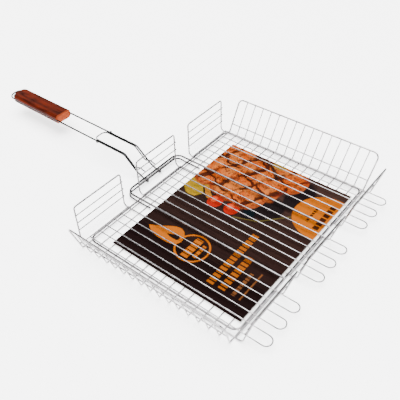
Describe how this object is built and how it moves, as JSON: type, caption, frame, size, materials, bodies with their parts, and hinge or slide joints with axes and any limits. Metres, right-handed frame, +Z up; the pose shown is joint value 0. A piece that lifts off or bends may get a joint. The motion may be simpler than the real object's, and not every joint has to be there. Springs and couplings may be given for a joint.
{
  "type": "grill basket",
  "caption": "Flat wire grill basket with flared walls, a tilting wire lid with finger loops, and a long two-wire handle with a wooden grip and a sliding lock.",
  "frame": {"origin": "under the middle of the whole object, at the height of its lowest wires", "axes": "+X from the handle to the finger side, +Y to the left when looking along +X from the handle, +Z up. Names with left and right are as seen from the finger side, so left is -Y and right is +Y"},
  "size_m": [0.8378, 0.4918, 0.0814],
  "materials": {
    "thin_wire": "bright plated wire",
    "thick_wire": "bright plated wire",
    "wood": "lacquered red-brown",
    "card": "glossy print"
  },
  "bodies": {
    "basket": {"floor_cross_wires": "thin_wire", "floor_long_rods": "thin_wire", "left_wall_uprights": "thin_wire", "left_wall_top_rail": "thin_wire", "left_wall_lower_rail": "thin_wire", "right_wall_uprights": "thin_wire", "right_wall_top_rail": "thin_wire", "right_wall_lower_rail": "thin_wire", "rear_panel_left": "thin_wire", "rear_panel_middle": "thin_wire", "rear_panel_right": "thin_wire", "front_panel_left": "thin_wire", "front_panel_middle": "thin_wire", "front_panel_right": "thin_wire", "basket_bail": "thick_wire", "printed_card": "card"},
    "lid": {"lid_frame": "thick_wire", "lid_fingers_left": "thin_wire", "lid_fingers_middle": "thin_wire", "lid_fingers_right": "thin_wire", "lid_bail": "thick_wire"},
    "handle": {"handle_wire": "thick_wire", "wooden_grip": "wood"},
    "lock": {"lock_loop": "thick_wire"}
  },
  "joints": [
    {"name": "lid_tilt", "type": "hinge", "parent": "basket", "child": "lid", "pos_m": [0.38257, 0, 0.01351], "axis": [0, 1, 0], "range_deg": [0, 20]},
    {"name": "handle_pivot", "type": "hinge", "parent": "basket", "child": "handle", "pos_m": [0.01087, 0, 0.0062], "axis": [0, 1, 0], "range_deg": [-4, 50]},
    {"name": "lock_slide", "type": "slide", "parent": "handle", "child": "lock", "axis": [1, 0, 0], "range_m": [-0.03, 0.014]}
  ]
}
